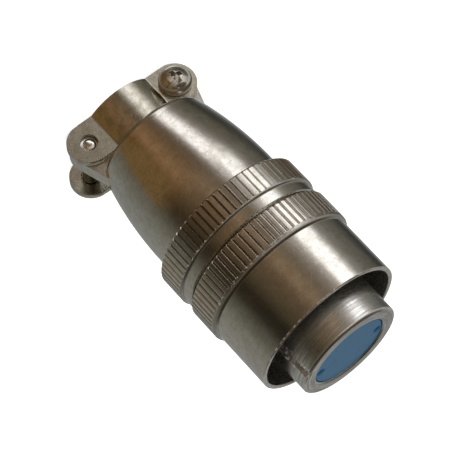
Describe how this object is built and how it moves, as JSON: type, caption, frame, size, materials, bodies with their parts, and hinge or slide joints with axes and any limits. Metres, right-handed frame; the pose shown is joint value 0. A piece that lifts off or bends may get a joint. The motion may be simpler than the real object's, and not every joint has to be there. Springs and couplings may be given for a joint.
{
  "type": "aviation plug connector",
  "caption": "Round metal cable plug with a knurled coupling nut round a keyed shell, a blue insulator face, a tapered backshell and a two-screw saddle cable clamp.",
  "frame": {"origin": "centre of the foot, on the plug's axis, at the rear edges of the two clamp saddles", "axes": "+Z along the plug's axis towards the mating face; -Y towards the saddle that rests on its lugs; the clamp screws lie along Y at +X and -X"},
  "size_m": [0.0282, 0.028, 0.0584],
  "materials": {
    "satin_nickel": "satin nickel plate on turned brass",
    "saddle_nickel": "nickel plate on stamped steel",
    "bright_nickel": "bright nickel plate on steel",
    "spring_steel": "plain spring steel",
    "contact_brass": "bright plate on brass",
    "washer_brass": "plain rolled brass",
    "blue_insulator": "smooth moulded blue thermoset",
    "black_insulator": "moulded black thermoset",
    "black_rubber": "moulded black rubber"
  },
  "bodies": {
    "plug": {"plug_shell": "satin_nickel", "shell_flange": "satin_nickel", "mating_seal": "black_rubber", "front_insulator": "blue_insulator", "face_gasket": "black_rubber", "rear_insulator": "black_insulator", "insulator_lock_ring": "spring_steel", "right_socket_contact": "contact_brass", "left_socket_contact": "contact_brass", "right_socket_sleeve": "spring_steel", "left_socket_sleeve": "spring_steel", "nut_retaining_ring": "spring_steel", "backshell": "satin_nickel", "backshell_gasket": "black_rubber", "cable_bush": "black_rubber"},
    "nut_carrier": {"thrust_washer": "washer_brass"},
    "nut": {"coupling_nut": "satin_nickel", "nut_sleeve": "satin_nickel"},
    "near_clamp": {"near_saddle": "saddle_nickel", "near_screw": "bright_nickel"},
    "far_clamp": {"far_saddle": "saddle_nickel", "far_screw": "bright_nickel"}
  },
  "joints": [
    {"name": "nut_play", "type": "slide", "parent": "plug", "child": "nut_carrier", "axis": [0, 0, 1], "range_m": [0, 0.001]},
    {"name": "nut_spin", "type": "hinge", "parent": "nut_carrier", "child": "nut", "pos_m": [0, 0, 0.0399], "axis": [0, 0, 1], "continuous": true},
    {"name": "clamp_float", "type": "slide", "parent": "plug", "child": "near_clamp", "axis": [0, -1, 0], "range_m": [0, 0.007]},
    {"name": "clamp_close", "type": "slide", "parent": "near_clamp", "child": "far_clamp", "axis": [0, -1, 0], "range_m": [0, 0.007]}
  ]
}
